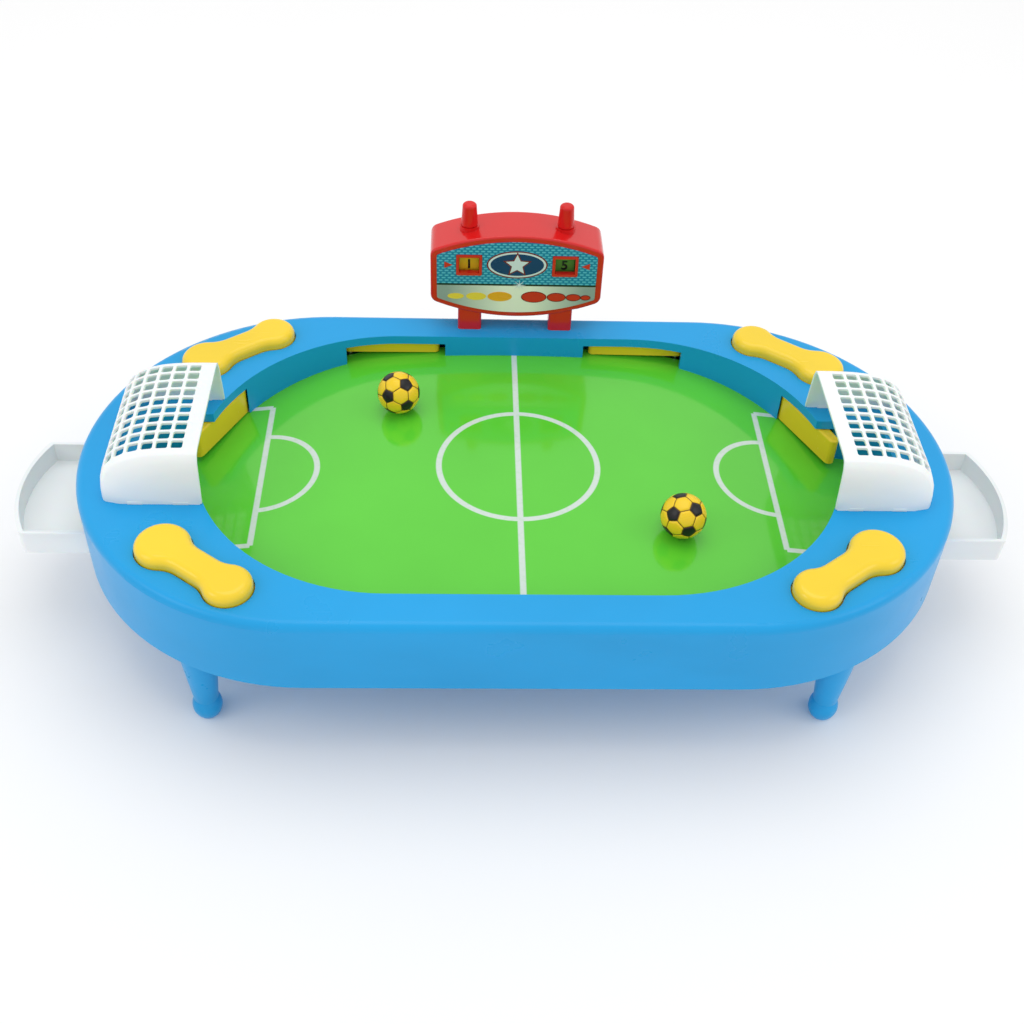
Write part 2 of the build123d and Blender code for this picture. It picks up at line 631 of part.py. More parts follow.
for end, side_x in ENDS.items():
    drum_centre = (side_x * DRUM_X, DRUM_Y)
    with BuildPart() as score_drum:
        with BuildSketch(Plane.XY.offset(DRUM_Z[0])):
            with Locations(drum_centre):
                RegularPolygon(DRUM_RADIUS, 6)
        extrude(amount=DRUM_Z[1] - DRUM_Z[0])
        with BuildSketch(Plane.XY.offset(PIVOT_Z)):
            with Locations(drum_centre):
                Circle(PIVOT_RADIUS)
        extrude(amount=DRUM_Z[0] - PIVOT_Z)
        with BuildSketch(Plane.XY.offset(DRUM_Z[1])):
            with Locations(drum_centre):
                Circle(SHAFT_RADIUS)
        extrude(amount=KNOB_Z[0] - DRUM_Z[1])
        with BuildSketch(Plane.XY.offset(KNOB_Z[0])) as knob_foot:
            with Locations(drum_centre):
                Circle(KNOB_RADIUS[0])
        with BuildSketch(Plane.XY.offset(KNOB_Z[1])) as knob_top:
            with Locations(drum_centre):
                Circle(KNOB_RADIUS[1])
        loft(sections=[knob_foot.sketch, knob_top.sketch])
        fillet(score_drum.faces().sort_by(Axis.Z)[-1].edges(), KNOB_ROUND)
    keep(score_drum, f"score_drum_{end}")

# --- balls, a hair above the pitch ---
for name, (ball_x, ball_y) in BALLS.items():
    rise = BALL_RADIUS + BALL_GAP
    lean = ball_x / PITCH_RADIUS
    with BuildPart() as ball:
        Sphere(BALL_RADIUS)
    ball.part.move(Location((ball_x + rise * sin(lean), ball_y, pitch_height(ball_x) + rise * cos(lean))))
    keep(ball, name)

# --- write one file for each piece ---
os.makedirs("parts", exist_ok=True)
for name, piece in pieces.items():
    piece.part.move(Location((0, -FOOTPRINT_MIDDLE_Y, 0)))
    piece.part.label = name
    export_step(piece.part, f"parts/{name}.step")
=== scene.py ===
import json
import math

import bmesh
import bpy
from mathutils import Euler, Matrix, Vector


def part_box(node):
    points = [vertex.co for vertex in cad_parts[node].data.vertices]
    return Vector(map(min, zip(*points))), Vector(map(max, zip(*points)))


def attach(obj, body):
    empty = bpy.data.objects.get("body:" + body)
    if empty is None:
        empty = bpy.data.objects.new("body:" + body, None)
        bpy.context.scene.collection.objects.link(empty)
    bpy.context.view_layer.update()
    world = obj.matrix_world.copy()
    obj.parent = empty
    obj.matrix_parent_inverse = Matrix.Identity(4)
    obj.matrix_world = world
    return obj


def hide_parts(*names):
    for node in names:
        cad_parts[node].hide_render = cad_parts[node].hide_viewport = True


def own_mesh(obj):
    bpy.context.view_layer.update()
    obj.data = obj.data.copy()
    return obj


# Looks of a table-top football game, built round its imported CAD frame. Metres, +Z up.

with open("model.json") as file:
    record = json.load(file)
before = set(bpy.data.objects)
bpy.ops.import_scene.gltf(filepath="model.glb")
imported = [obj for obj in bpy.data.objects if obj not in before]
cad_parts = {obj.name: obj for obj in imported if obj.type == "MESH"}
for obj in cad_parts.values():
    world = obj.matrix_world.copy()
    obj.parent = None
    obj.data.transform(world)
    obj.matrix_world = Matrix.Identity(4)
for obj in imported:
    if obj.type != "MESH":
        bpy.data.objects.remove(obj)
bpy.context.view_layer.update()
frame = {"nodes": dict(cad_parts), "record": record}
MM = 0.001

# --- places read from the frame ---
PITCH_LOW, PITCH_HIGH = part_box("pitch_board")
RIM_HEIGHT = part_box("upper_shell")[1].z
LABEL_LOW, LABEL_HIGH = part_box("scoreboard_label")
PITCH_MIDDLE = (PITCH_LOW + PITCH_HIGH) / 2
LABEL_MIDDLE = (LABEL_LOW + LABEL_HIGH) / 2


def linear(red, green, blue):
    """A display colour, 0 to 255 each, as the linear colour that a shader takes."""
    parts = []
    for value in (red, green, blue):
        value /= 255
        parts.append(value / 12.92 if value <= 0.04045 else ((value + 0.055) / 1.055) ** 2.4)
    return (*parts, 1.0)


# --- camera ---
CAMERA_PLACE = Vector((-0.0296, -0.5008, 0.5149))
CAMERA_PITCH, CAMERA_YAW, CAMERA_ROLL = (math.radians(a) for a in (43.36, -3.16, 2.69))
CAMERA_LENS, SENSOR = 46.37, 36.0
CAMERA_CLIP = (0.01, 20)

forward = Vector((-math.sin(CAMERA_YAW) * math.cos(CAMERA_PITCH),
                  math.cos(CAMERA_YAW) * math.cos(CAMERA_PITCH), -math.sin(CAMERA_PITCH)))
level = Vector((math.cos(CAMERA_YAW), math.sin(CAMERA_YAW), 0))
above = level.cross(forward)
right = math.cos(CAMERA_ROLL) * level + math.sin(CAMERA_ROLL) * above
up = math.cos(CAMERA_ROLL) * above - math.sin(CAMERA_ROLL) * level
camera_data = bpy.data.cameras.new("camera")
camera_data.lens, camera_data.sensor_width = CAMERA_LENS, SENSOR
camera_data.clip_start, camera_data.clip_end = CAMERA_CLIP
camera = bpy.data.objects.new("camera", camera_data)
camera.matrix_world = Matrix.Translation(CAMERA_PLACE) @ Matrix((right, up, -forward)).transposed().to_4x4()
bpy.context.scene.collection.objects.link(camera)
bpy.context.scene.camera = camera
bpy.context.scene.view_settings.view_transform = "Standard"


# --- shader building blocks ---
PLASTIC_IOR, PLASTIC_SPECULAR = 1.5, 0.32
COAT_ROUGHNESS = 0.08
MILKY_DEPTH = 2 * MM              # how far light travels inside white plastic


class Shader:
    """A material's node tree, with short ways to add the nodes used here."""

    def __init__(self, name):
        self.material = bpy.data.materials.new(name)
        self.material.use_nodes = True
        self.nodes = self.material.node_tree.nodes
        self.surface = self.nodes["Principled BSDF"]
        self.place = self.nodes.new("ShaderNodeTexCoord").outputs["Object"]

    def link(self, source, socket):
        self.material.node_tree.links.new(source, socket)

    def feed(self, value, socket):
        """Connects a node's output, or sets the socket when the value is a plain one."""
        if isinstance(value, bpy.types.NodeSocket):
            self.link(value, socket)
        else:
            socket.default_value = value

    def math(self, operation, first, second=0.0, third=0.0):
        node = self.nodes.new("ShaderNodeMath")
        node.operation = operation
        for value, socket in zip((first, second, third), node.inputs):
            self.feed(value, socket)
        return node.outputs[0]

    def both(self, first, second):
        return self.math("MULTIPLY", first, second)

    def either(self, *masks):
        total = masks[0]
        for mask in masks[1:]:
            total = self.math("MAXIMUM", total, mask)
        return total

    def below(self, value, limit, soft):
        """1 where the value is under the limit, falling to 0 over a soft edge."""
        node = self.nodes.new("ShaderNodeMapRange")
        node.inputs["From Min"].default_value = limit + soft / 2
        node.inputs["From Max"].default_value = limit - soft / 2
        self.link(value, node.inputs["Value"])
        return node.outputs["Result"]

    def axes(self):
        node = self.nodes.new("ShaderNodeSeparateXYZ")
        self.link(self.place, node.inputs[0])
        return node.outputs

    def noise(self, scale, detail=3.0, stretch=(1, 1, 1)):
        mapping = self.nodes.new("ShaderNodeMapping")
        mapping.inputs["Scale"].default_value = stretch
        self.link(self.place, mapping.inputs["Vector"])
        node = self.nodes.new("ShaderNodeTexNoise")
        node.inputs["Scale"].default_value = scale
        node.inputs["Detail"].default_value = detail
        self.link(mapping.outputs[0], node.inputs["Vector"])
        return node.outputs["Fac"]

    def spread(self, value, low, high, source=(0.3, 0.7)):
        node = self.nodes.new("ShaderNodeMapRange")
        node.inputs["From Min"].default_value, node.inputs["From Max"].default_value = source
        node.inputs["To Min"].default_value, node.inputs["To Max"].default_value = low, high
        self.link(value, node.inputs["Value"])
        return node.outputs["Result"]

    def mix(self, share, first, second):
        node = self.nodes.new("ShaderNodeMix")
        node.data_type = "RGBA"
        self.feed(share, node.inputs["Factor"])
        self.feed(first, node.inputs["A"])
        self.feed(second, node.inputs["B"])
        return node.outputs["Result"]

    def bump(self, *layers):
        """Height layers, each (value, distance in metres), one on top of the other."""
        normal = None
        for height, distance in layers:
            node = self.nodes.new("ShaderNodeBump")
            node.inputs["Strength"].default_value = 1.0
            node.inputs["Distance"].default_value = distance
            self.link(height, node.inputs["Height"])
            if normal is not None:
                self.link(normal, node.inputs["Normal"])
            normal = node.outputs[0]
        self.link(normal, self.surface.inputs["Normal"])


def shade(colour, amount):
    """A colour made lighter or darker by a factor."""
    return (*[min(1.0, part * amount) for part in colour[:3]], 1.0)


def plastic(name, colour, rough, grain=2e-6, paint=None, coat=0.0, subsurface=0.0):
    """Moulded plastic: flow marks in the colour, fine grain, waviness and rubbed patches."""
    shader = Shader(name)
    flow = shader.noise(9, 4, (1, 1, 2.5))
    base = shader.mix(shader.spread(flow, 0, 1), shade(colour, 0.93), shade(colour, 1.06))
    if paint is not None:
        base = paint(shader, base)
    shader.feed(base, shader.surface.inputs["Base Color"])
    rubbed = shader.noise(38, 6)
    hairlines = shader.noise(60, 2, (1, 14, 6))
    patches = shader.spread(rubbed, -0.035, 0.05)
    scratches = shader.spread(hairlines, 0, 0.04, (0.62, 0.72))
    wear = shader.math("ADD", patches, scratches)
    shader.link(shader.math("ADD", wear, rough), shader.surface.inputs["Roughness"])
    shader.surface.inputs["IOR"].default_value = PLASTIC_IOR
    shader.surface.inputs["Specular IOR Level"].default_value = PLASTIC_SPECULAR
    shader.surface.inputs["Coat Weight"].default_value = coat
    shader.surface.inputs["Coat Roughness"].default_value = COAT_ROUGHNESS
    if subsurface:
        shader.surface.inputs["Subsurface Weight"].default_value = subsurface
        shader.surface.inputs["Subsurface Scale"].default_value = MILKY_DEPTH
    waves = shader.noise(25, 1)
    shader.bump((waves, 6e-5), (shader.noise(2600, 2), grain))
    return shader.material


def metal(name, colour, rough):
    """Plated steel with drawn lines and cloudy plating."""
    shader = Shader(name)
    clouds = shader.noise(240, 4)
    shader.feed(shader.mix(clouds, shade(colour, 0.8), colour), shader.surface.inputs["Base Color"])
    shader.surface.inputs["Metallic"].default_value = 1.0
    shader.link(shader.spread(clouds, rough - 0.08, rough + 0.1), shader.surface.inputs["Roughness"])
    shader.bump((shader.noise(1500, 2, (1, 1, 6)), 3e-6))
    return shader.material


# --- pitch markings, painted about the pitch's own middle ---
LINE_HALF = 1.45 * MM
LINE_SOFT = 0.5 * MM
MARKINGS_SHIFT = 4.9 * MM         # the print sits this much nearer to the scoreboard
CIRCLE_RADIUS = 40 * MM
PENALTY_X, PENALTY_Y = 129 * MM, 52 * MM
ARC_RADIUS = 27.7 * MM
LINE_PAINT = linear(206, 220, 212)


def pitch_markings(shader, grass):
    x, y, _ = shader.axes()
    across = shader.math("SUBTRACT", x, PITCH_MIDDLE.x)
    along = shader.math("SUBTRACT", y, PITCH_MIDDLE.y + MARKINGS_SHIFT)
    side = shader.math("ABSOLUTE", across)
    reach = shader.math("ABSOLUTE", along)

    def distance(first, second):
        squares = shader.math("ADD", shader.both(first, first), shader.both(second, second))
        return shader.math("SQRT", squares)

    def stroke(value):
        return shader.below(shader.math("ABSOLUTE", value), LINE_HALF, LINE_SOFT)

    past_goal_line = shader.math("SUBTRACT", side, PENALTY_X)
    halfway = stroke(across)
    circle = stroke(shader.math("SUBTRACT", distance(across, along), CIRCLE_RADIUS))
    goal_line = shader.both(stroke(past_goal_line), shader.below(reach, PENALTY_Y, LINE_SOFT))
    corners = shader.both(stroke(shader.math("SUBTRACT", reach, PENALTY_Y)),
                          shader.math("GREATER_THAN", side, PENALTY_X))
    arc = shader.both(stroke(shader.math("SUBTRACT", distance(past_goal_line, along), ARC_RADIUS)),
                      shader.math("LESS_THAN", side, PENALTY_X))
    lines = shader.either(halfway, circle, goal_line, corners, arc)
    worn = shader.both(lines, shader.spread(shader.noise(420, 4), 0.86, 1.0, (0.32, 0.5)))
    return shader.mix(worn, grass, LINE_PAINT)


# --- printed label: a dark-edged panel above, a pale one below with a painted sheen ---
LABEL_SPLIT = LABEL_LOW.z + 0.40 * (LABEL_HIGH.z - LABEL_LOW.z)
LABEL_BLUE, LABEL_SKY = linear(24, 122, 164), linear(92, 184, 208)
# The second colour on the next line is the painted grey at the ends of the pale panel's painted sheen; the
# cream is the panel's own colour.
LABEL_CREAM, LABEL_SHEEN_GREY = linear(238, 236, 220), linear(150, 160, 160)
BLACK = linear(18, 18, 20)
DASH_X, DASH_Z = 3.2 * MM, 1.5 * MM


def label_print(shader, white):
    x, _, z = shader.axes()
    row = shader.math("FLOOR", shader.math("DIVIDE", z, DASH_Z))
    shifted = shader.math("ADD", x, shader.both(row, DASH_X / 2))
    in_dash = shader.math("FRACT", shader.math("DIVIDE", shifted, DASH_X))
    in_row = shader.math("FRACT", shader.math("DIVIDE", z, DASH_Z))
    dash = shader.both(shader.below(in_dash, 0.62, 0.2), shader.below(in_row, 0.55, 0.2))
    panel = shader.mix(dash, LABEL_BLUE, LABEL_SKY)
    height = shader.math("SUBTRACT", z, LABEL_SPLIT)
    # Painted sheen: the pale lower panel is painted cream across its middle and fades to a silver-grey
    # towards its ends. This is shade painted into the colour, not print.
    sheen = shader.math("ABSOLUTE", shader.math("SUBTRACT", x, LABEL_MIDDLE.x))
    pale_with_painted_sheen = shader.mix(shader.below(sheen, 22 * MM, 30 * MM), LABEL_SHEEN_GREY, LABEL_CREAM)
    lower = shader.mix(shader.below(height, 0, 0.3 * MM), panel, pale_with_painted_sheen)
    rule = shader.below(shader.math("ABSOLUTE", height), 0.55 * MM, 0.2 * MM)
    return shader.mix(rule, lower, BLACK)


# --- score drums: a coloured barrel under a red knob ---
DRUM_FACE = {"left": linear(240, 200, 40), "right": linear(92, 150, 62)}
RED = linear(210, 24, 24)
DRUM_JOINTS = [joint for joint in frame["record"]["behaviour"]["joints"] if "score_turn" in joint["name"]]
WINDOW_HEIGHT = DRUM_JOINTS[0]["pos_m"][2]
BARREL_TOP = WINDOW_HEIGHT + 7 * MM


def drum_paint(face):
    def paint(shader, red):
        z = shader.axes()[2]
        return shader.mix(shader.below(z, BARREL_TOP, 0.1 * MM), red, face)
    return paint


BLUE = linear(22, 158, 222)
GREEN = linear(90, 204, 50)
WHITE = linear(240, 244, 244)
YELLOW = linear(244, 209, 44)
STEEL = linear(196, 198, 202)

materials = {
    "blue_plastic": plastic("blue_plastic", BLUE, 0.30, 5e-6),
    "green_pitch": plastic("green_pitch", GREEN, 0.13, 1e-6, pitch_markings, coat=0.6),
    "white_plastic": plastic("white_plastic", WHITE, 0.34, 4e-6, subsurface=0.15),
    "yellow_plastic": plastic("yellow_plastic", YELLOW, 0.22, 3e-6, coat=0.3),
    "red_plastic": plastic("red_plastic", RED, 0.20, 3e-6, coat=0.4),
    "label_print": plastic("label_print", WHITE, 0.22, 2e-6, label_print, coat=0.3),
    "steel": metal("steel", STEEL, 0.3),
}
for end, face in DRUM_FACE.items():
    materials[f"score_drum_{end}"] = plastic(f"drum_{end}", RED, 0.22, 3e-6, drum_paint(face))

node_slots = {part["node"]: part["material_slot"] for part in frame["record"]["subparts"]}
for node, piece in frame["nodes"].items():
    finish = materials.get(node) or materials.get(node_slots[node])
    if finish is None:
        continue
    if not piece.material_slots:
        piece.data.materials.append(None)
    for slot in piece.material_slots:
        slot.link = "OBJECT"
        slot.material = finish


# --- mesh helpers ---
def to_object(mesh_builder, name, *finishes):
    """Turns a bmesh into an object with its materials, and frees the bmesh."""
    mesh = bpy.data.meshes.new(name)
    mesh_builder.to_mesh(mesh)
    mesh_builder.free()
    for finish in finishes:
        mesh.materials.append(finish)
    piece = bpy.data.objects.new(name, mesh)
    bpy.context.scene.collection.objects.link(piece)
    return piece


def label_printed(name, outline, finish, thickness=0.12 * MM):
    """A thin print on the label: a closed outline in X and Z, raised towards -Y."""
    ink = bmesh.new()
    back = [ink.verts.new((x, 0, z)) for x, z in outline]
    front = [ink.verts.new((x, -thickness, z)) for x, z in outline]
    ink.faces.new(reversed(back))
    ink.faces.new(front)
    for here in range(len(outline)):
        there = (here + 1) % len(outline)
        ink.faces.new((back[here], back[there], front[there], front[here]))
    bmesh.ops.recalc_face_normals(ink, faces=ink.faces)
    piece = to_object(ink, name, finish)
    piece.matrix_world = Matrix.Translation((0, LABEL_LOW.y, 0))
    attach(piece, "table")


def oval(x, z, wide, tall, steps=40):
    turns = [2 * math.pi * step / steps for step in range(steps)]
    return [(x + wide * math.cos(turn), z + tall * math.sin(turn)) for turn in turns]


def star(x, z, points, outer, inner, turn=math.pi / 2):
    tips = []
    for step in range(2 * points):
        radius = inner if step % 2 else outer
        angle = turn + math.pi * step / points
        tips.append((x + radius * math.cos(angle), z + radius * math.sin(angle)))
    return tips


# --- balls: panelled skins that stand for the plain spheres ---
BALL_TURNS = {"ball_left": (0.5, 0.35, 0.2), "ball_right": (1.1, 0.2, 2.1)}
SEAM_DEPTH = 0.16 * MM
SEAM_WIDTH = 0.018                # each side, on a ball of radius 1
SKIN_CUTS = 5                     # in each edge of a panel, so that it bulges
ball_yellow = plastic("ball_yellow", linear(246, 206, 40), 0.26, 6e-6)
ball_black = plastic("ball_black", linear(26, 24, 26), 0.30, 6e-6)
ball_seam = plastic("ball_seam", linear(120, 84, 14), 0.5, 6e-6)


def panelled_ball(name):
    low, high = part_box(name)
    radius = (high.x - low.x) / 2
    skin = bmesh.new()
    bmesh.ops.create_icosphere(skin, subdivisions=1, radius=1)
    bmesh.ops.bevel(skin, geom=skin.verts[:], offset=100 / 3, offset_type="PERCENT", affect="VERTICES",
                    segments=1, profile=0.5, clamp_overlap=False)
    for face in skin.faces:
        face.material_index = 1 if len(face.verts) == 5 else 0
    seams = bmesh.ops.inset_individual(skin, faces=skin.faces[:], thickness=SEAM_WIDTH,
                                       use_even_offset=True)
    rings = seams["faces"]
    for face in rings:
        face.material_index = 2
    bmesh.ops.triangulate(skin, faces=[face for face in skin.faces if face not in rings])
    bmesh.ops.subdivide_edges(skin, edges=skin.edges[:], cuts=SKIN_CUTS, use_grid_fill=True)
    for vert in skin.verts:
        in_seam = all(face.material_index == 2 for face in vert.link_faces)
        vert.co = vert.co.normalized() * (radius - (SEAM_DEPTH if in_seam else 0))
    for face in skin.faces:
        face.smooth = True
    piece = to_object(skin, f"{name}_skin", ball_yellow, ball_black, ball_seam)
    piece.matrix_world = Matrix.Translation((low + high) / 2) @ Euler(BALL_TURNS[name]).to_matrix().to_4x4()
    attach(piece, name)
    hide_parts(name)


for ball in BALL_TURNS:
    panelled_ball(ball)

# --- goals: moulded hoods with full, rounded nets that stand for the plain CAD ones ---
NET_POWER = 3.2                   # the roof's curve, seen from the side: 2 is an ellipse
EDGE_POWER = 13.0                 # how tight the edge between the roof and the sides is
TOP_SHARE = 0.0875                # how much narrower the goal is at the top
NET_ACROSS, NET_ALONG = 10, 7
HOLE_CORNER, HOLE_OPEN, NET_BAR = 0.65 * MM, 4.2 * MM, 1.5 * MM
FRONT_BAND = 7.0 * MM
HOOD_SHEET = 1.4 * MM
HOOD_EDGE = 0.2 * MM
TAB_SIZE = (7.0 * MM, 1.8 * MM)
TAB_PLACES = (0.21, 0.65)         # along the goal's foot
CURVE_STEPS = 2000
SIDE_REACHES = (0.94, 0.8, 0.6, 0.4, 0.2, 0.02)
BEND_SHARES = (0.25, 0.5, 0.75, 0.9)
CLOSE_POINTS = 0.01 * MM
SHARP_ANGLE = math.radians(40)


def net_stops(count):
    """Distances across a row of holes, from its first edge, and where each hole begins."""
    stops, starts = [0.0], []
    for number in range(count):
        starts.append(len(stops) - 1)
        for width in (HOLE_CORNER, HOLE_OPEN, HOLE_CORNER):
            stops.append(stops[-1] + width)
        if number < count - 1:
            stops.append(stops[-1] + NET_BAR)
    return stops, starts


def roof_profile(deep, tall):
    """Points along the roof's curve, from its front to its foot, with the distance to each."""
    walked, here = [(0.0, 0.0, tall)], (0.0, tall)
    for step in range(1, CURVE_STEPS + 1):
        turn = math.pi / 2 * step / CURVE_STEPS
        out = deep * math.sin(turn) ** (2 / NET_POWER)
        place = (out, tall * max(0.0, math.cos(turn)) ** (2 / NET_POWER))
        walked.append((walked[-1][0] + math.dist(here, place), *place))
        here = place
    return walked


def round_edge(share):
    """The other side of the rounded edge's curve: 1 gives 0, and 0 gives 1."""
    return (1 - abs(share) ** EDGE_POWER) ** (1 / EDGE_POWER)


def goal_hood(end, side):
    """A goal's roof and sides as one sheet with a net of holes."""
    low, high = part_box(f"goal_{end}")
    deep, tall, half = high.x - low.x, high.z - RIM_HEIGHT, (high.y - low.y) / 2
    front, middle = (low.x if side > 0 else high.x), (low.y + high.y) / 2
    walked = roof_profile(deep, tall)
    length = walked[-1][0]

    stops, along_starts = net_stops(NET_ALONG)
    along = [0.0, FRONT_BAND / 2] + [FRONT_BAND + stop for stop in stops]
    along += [(along[-1] + length) / 2, length]
    curve = []
    for distance in along:
        found = min(walked, key=lambda point: abs(point[0] - distance))
        curve.append(found[1:])

    stops, across_starts = net_stops(NET_ACROSS)
    across = [stop - stops[-1] / 2 for stop in stops]
    edge = [half * round_edge(reach) for reach in SIDE_REACHES]
    bend = [across[-1] + (edge[0] - across[-1]) * share for share in BEND_SHARES]
    outer = [(y, round_edge(y / half)) for y in bend] + list(zip(edge, SIDE_REACHES))
    inner = [(y, round_edge(y / half)) for y in across]
    rows = [(-y, reach) for y, reach in reversed(outer)] + inner + outer

    hood = bmesh.new()
    grid = []
    for y, reach in rows:
        line = []
        for x, z in curve:
            width = 1 - TOP_SHARE * z * reach / tall
            spot = (front + side * x * reach, middle + y * width, RIM_HEIGHT + z * reach)
            line.append(hood.verts.new(spot))
        grid.append(line)

    hole_rows = {len(outer) + start + part: part for start in across_starts for part in range(3)}
    hole_columns = {2 + start + part: part for start in along_starts for part in range(3)}
    for row in range(len(rows) - 1):
        for column in range(len(curve) - 1):
            here, there = grid[row], grid[row + 1]
            corners = [here[column], there[column], there[column + 1], here[column + 1]]
            if row in hole_rows and column in hole_columns:
                parts = (hole_rows[row], hole_columns[column])
                if 1 in parts:
                    continue
                missing = {(0, 0): 2, (2, 0): 3, (2, 2): 0, (0, 2): 1}[parts]
                del corners[missing]
            hood.faces.new(corners if side > 0 else corners[::-1])
    bmesh.ops.remove_doubles(hood, verts=hood.verts[:], dist=CLOSE_POINTS)
    bmesh.ops.recalc_face_normals(hood, faces=hood.faces[:])
    if sum(face.normal.z * face.calc_area() for face in hood.faces) < 0:
        bmesh.ops.reverse_faces(hood, faces=hood.faces[:])
    for face in hood.faces:
        face.smooth = True
    piece = to_object(hood, f"goal_hood_{end}", materials["white_plastic"])

    sheet = piece.modifiers.new("sheet", "SOLIDIFY")
    sheet.thickness, sheet.offset = HOOD_SHEET, -1
    rounding = piece.modifiers.new("rounding", "BEVEL")
    rounding.width, rounding.segments = HOOD_EDGE, 2
    rounding.limit_method, rounding.angle_limit = "ANGLE", SHARP_ANGLE
    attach(piece, "table")
    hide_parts(f"goal_{end}")


def goal_tabs(end, side):
    """The tabs that plug a goal into its slots in the rim."""
    low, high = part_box(f"goal_{end}")
    deep, half = high.x - low.x, (high.y - low.y) / 2
    front, middle = (low.x if side > 0 else high.x), (low.y + high.y) / 2
    tabs = bmesh.new()
    for place in TAB_PLACES:
        for wall in (-1, 1):
            block = bmesh.ops.create_cube(tabs, size=1)["verts"]
            tab_tall = RIM_HEIGHT - low.z + HOOD_SHEET
            middle_y = middle + wall * (half - TAB_SIZE[1] / 2)
            shape = Matrix.Diagonal((*TAB_SIZE, tab_tall, 1))
            spot = Matrix.Translation((front + side * place * deep, middle_y, low.z + tab_tall / 2))
            bmesh.ops.transform(tabs, matrix=spot @ shape, verts=block)
    bmesh.ops.bevel(tabs, geom=tabs.edges[:], offset=HOOD_EDGE, segments=2, affect="EDGES", profile=0.5)
    foot = to_object(tabs, f"goal_tabs_{end}", materials["white_plastic"])
    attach(foot, "table")


for end, side in (("left", -1), ("right", 1)):
    goal_hood(end, side)
    goal_tabs(end, side)

# --- button springs: coils with closed ends, under the buttons ---
SPRING_TURNS, SPRING_WIRE = 8, 0.55 * MM
TURN_STEPS, WIRE_STEPS = 28, 10
CLOSED_PITCH = 2.1 * SPRING_WIRE


def spring_height(turn, tall):
    """Height of the wire's middle, at a number of turns from the foot."""
    if turn < 1:
        return SPRING_WIRE + CLOSED_PITCH * turn
    if turn > SPRING_TURNS - 1:
        return tall - SPRING_WIRE - CLOSED_PITCH * (SPRING_TURNS - turn)
    open_height = tall - 2 * (SPRING_WIRE + CLOSED_PITCH)
    return SPRING_WIRE + CLOSED_PITCH + open_height * (turn - 1) / (SPRING_TURNS - 2)


def button_spring(place):
    """The coil under one button."""
    low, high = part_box(f"button_spring_{place}")
    middle, tall = (low + high) / 2, high.z - low.z
    radius = (high.x - low.x) / 2 - SPRING_WIRE
    coil = bmesh.new()
    rings = []
    for step in range(SPRING_TURNS * TURN_STEPS + 1):
        angle = 2 * math.pi * step / TURN_STEPS
        height = spring_height(step / TURN_STEPS, tall)
        ring = []
        for part in range(WIRE_STEPS):
            around = 2 * math.pi * part / WIRE_STEPS
            out = radius + SPRING_WIRE * math.cos(around)
            z = low.z + height + SPRING_WIRE * math.sin(around)
            x, y = middle.x + out * math.cos(angle), middle.y + out * math.sin(angle)
            ring.append(coil.verts.new((x, y, z)))
        rings.append(ring)
    for here, there in zip(rings, rings[1:]):
        for part in range(WIRE_STEPS):
            after = (part + 1) % WIRE_STEPS
            coil.faces.new((here[part], here[after], there[after], there[part]))
    coil.faces.new(rings[0])
    coil.faces.new(rings[-1])
    bmesh.ops.recalc_face_normals(coil, faces=coil.faces[:])
    for face in coil.faces:
        face.smooth = len(face.verts) == 4
    piece = to_object(coil, f"coil_{place}", materials["steel"])
    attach(piece, "table")
    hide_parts(f"button_spring_{place}")
    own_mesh(piece)


for joint in frame["record"]["behaviour"]["joints"]:
    if joint["name"].startswith("press_"):
        button_spring(joint["name"].removeprefix("press_"))

# --- prints on the label ---
print_yellow = plastic("print_yellow", linear(240, 206, 70), 0.25, 1e-6)
print_orange = plastic("print_orange", linear(238, 166, 38), 0.25, 1e-6)
print_red = plastic("print_red", linear(206, 44, 30), 0.25, 1e-6)
print_dark = plastic("print_dark", linear(120, 22, 24), 0.25, 1e-6)
print_silver = plastic("print_silver", linear(214, 220, 226), 0.2, 1e-6)
print_navy = plastic("print_navy", linear(24, 58, 104), 0.25, 1e-6)
print_black = plastic("print_black", BLACK, 0.3, 1e-6)

OVAL_Z = LABEL_LOW.z + 0.23 * (LABEL_HIGH.z - LABEL_LOW.z)
LEFT_OVALS = ((-32.5, 4.4, 1.8), (-21.5, 5.4, 2.4), (-8.8, 6.6, 3.0))
RIGHT_OVALS = ((9.6, 6.4, 3.1), (21.8, 4.7, 2.4), (31.0, 3.6, 1.8), (37.6, 2.3, 1.2))
OVAL_EDGE = 0.5


for number, (x, wide, tall) in enumerate(LEFT_OVALS):
    ink = print_orange if number == len(LEFT_OVALS) - 1 else print_yellow
    label_printed(f"label_oval_left_{number}", oval(x * MM, OVAL_Z, wide * MM, tall * MM), ink)
for number, (x, wide, tall) in enumerate(RIGHT_OVALS):
    edge = oval(x * MM, OVAL_Z, (wide + OVAL_EDGE) * MM, (tall + OVAL_EDGE) * MM)
    label_printed(f"label_oval_edge_{number}", edge, print_dark, 0.08 * MM)
    label_printed(f"label_oval_right_{number}", oval(x * MM, OVAL_Z, wide * MM, tall * MM), print_red)

ARROW_X = 36.4 * MM
ARROW_HALF = (2.2 * MM, 1.9 * MM)
for end, side in (("left", -1), ("right", 1)):
    tip = side * (ARROW_X - ARROW_HALF[0])
    tail = side * (ARROW_X + ARROW_HALF[0])
    top, bottom = WINDOW_HEIGHT + ARROW_HALF[1], WINDOW_HEIGHT - ARROW_HALF[1]
    arrow = [(tip, WINDOW_HEIGHT), (tail, top), (tail, bottom)]
    label_printed(f"label_arrow_{end}", arrow, print_red)

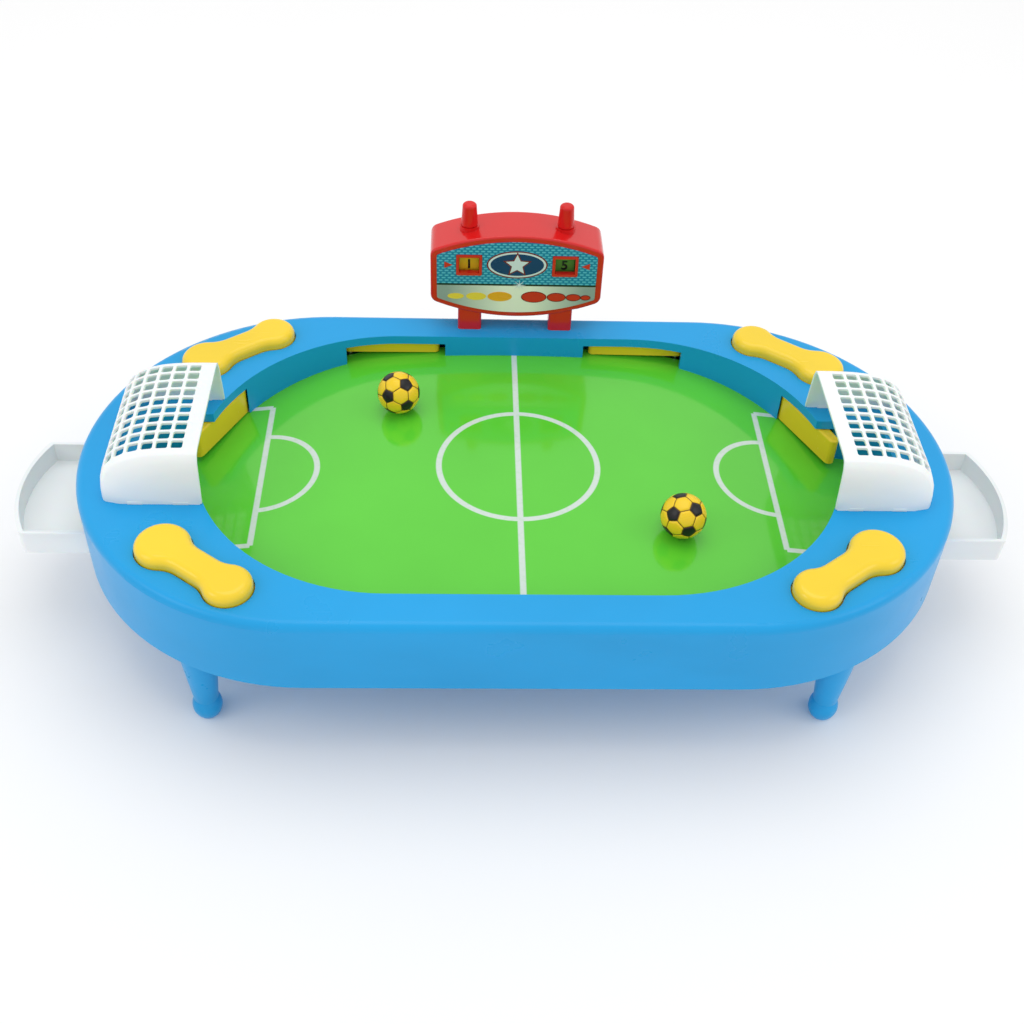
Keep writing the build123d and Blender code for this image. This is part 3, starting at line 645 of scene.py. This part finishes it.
# a plain star on an oval, one thin print on top of another
EMBLEM_Z = WINDOW_HEIGHT + 0.5 * MM
EMBLEM_OVALS = (
    ("emblem_back", 16.2, 8.4, print_dark, 0.10),
    ("emblem_rim", 15.4, 7.7, print_silver, 0.14),
    ("emblem_field", 14.2, 6.7, print_navy, 0.18),
)
EMBLEM_STARS = (
    ("emblem_star_edge", 8.0, 3.6, print_dark, 0.22),
    ("emblem_star", 6.4, 2.9, print_silver, 0.26),
)
SMOOTH_STEPS, STAR_POINTS, BURST_POINTS = 64, 5, 8
for name, wide, tall, ink, thickness in EMBLEM_OVALS:
    label_printed(name, oval(0, EMBLEM_Z, wide * MM, tall * MM, SMOOTH_STEPS), ink, thickness * MM)
for name, outer, inner, ink, thickness in EMBLEM_STARS:
    label_printed(name, star(0, EMBLEM_Z, STAR_POINTS, outer * MM, inner * MM), ink, thickness * MM)
burst = star(1.5 * MM, LABEL_SPLIT, BURST_POINTS, 3.6 * MM, 0.6 * MM)
label_printed("label_burst", burst, print_silver)

# --- digits round the two score drums ---
SHOWN = {"left": 1, "right": 5}
DIGITS = 6
DIGIT_SIZE = 7.6 * MM
DIGIT_BOLD = 0.22 * MM
DIGIT_DROP = 2.4 * MM             # below the window's middle, because it is looked into from above


def digit_outline_mesh(number):
    """A flat digit's mesh, from the built-in font, standing in X and Z about its middle."""
    text = bpy.data.curves.new(f"digit_{number}", "FONT")
    text.body = str(number)
    text.size = DIGIT_SIZE
    text.offset = DIGIT_BOLD
    text.align_x, text.align_y = "CENTER", "CENTER"
    text.extrude = 0.08 * MM
    holder = bpy.data.objects.new("digit_holder", text)
    bpy.context.scene.collection.objects.link(holder)
    bpy.context.view_layer.update()
    mesh = bpy.data.meshes.new_from_object(holder.evaluated_get(bpy.context.evaluated_depsgraph_get()))
    bpy.data.objects.remove(holder)
    mesh.transform(Matrix.Rotation(math.pi / 2, 4, "X"))
    return mesh


for end, shown in SHOWN.items():
    low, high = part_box(f"score_drum_{end}")
    middle = Vector(((low.x + high.x) / 2, (low.y + high.y) / 2, WINDOW_HEIGHT - DIGIT_DROP))
    apothem = (high.y - low.y) / 2
    for number in range(DIGITS):
        mesh = digit_outline_mesh(number)
        mesh.materials.clear()
        mesh.materials.append(print_black)
        piece = bpy.data.objects.new(f"score_digit_{end}_{number}", mesh)
        bpy.context.scene.collection.objects.link(piece)
        turn = Matrix.Rotation(2 * math.pi * (number - shown) / DIGITS, 4, "Z")
        piece.matrix_world = Matrix.Translation(middle) @ turn @ Matrix.Translation((0, -apothem, 0))
        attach(piece, f"score_drum_{end}")

# --- floor, light and backdrop ---
FLOOR_HALF = 6.0
SKY_STRENGTH = 0.86
floor_mesh = bmesh.new()
bmesh.ops.create_grid(floor_mesh, x_segments=1, y_segments=1, size=FLOOR_HALF)
floor_shader = Shader("floor")
floor_tone = floor_shader.noise(3, 2)
floor_shader.feed(floor_shader.mix(floor_tone, linear(246, 246, 246), linear(250, 250, 250)),
                  floor_shader.surface.inputs["Base Color"])
floor_shader.surface.inputs["Roughness"].default_value = 0.9
floor_shader.surface.inputs["Specular IOR Level"].default_value = 0.1
floor = to_object(floor_mesh, "floor", floor_shader.material)

world = bpy.data.worlds.new("studio")
world.use_nodes = True
world.node_tree.nodes["Background"].inputs["Color"].default_value = (1, 1, 1, 1)
world.node_tree.nodes["Background"].inputs["Strength"].default_value = SKY_STRENGTH
bpy.context.scene.world = world


def softbox(name, place, aim, size, power):
    """A round area light, pointed from its place at an aim."""
    light = bpy.data.lights.new(name, "AREA")
    light.shape, light.size, light.energy = "DISK", size, power
    box = bpy.data.objects.new(name, light)
    box.location = place
    box.rotation_euler = (Vector(aim) - Vector(place)).to_track_quat("-Z", "Y").to_euler()
    bpy.context.scene.collection.objects.link(box)


softbox("top_light", (0, 0.25, 1.5), (0, 0, 0), 1.3, 5)
softbox("left_light", (-1.3, -0.5, 1.1), (0, 0, 0.05), 0.8, 2.4)
softbox("right_light", (1.3, -0.3, 1.1), (0, 0, 0.05), 0.8, 2)
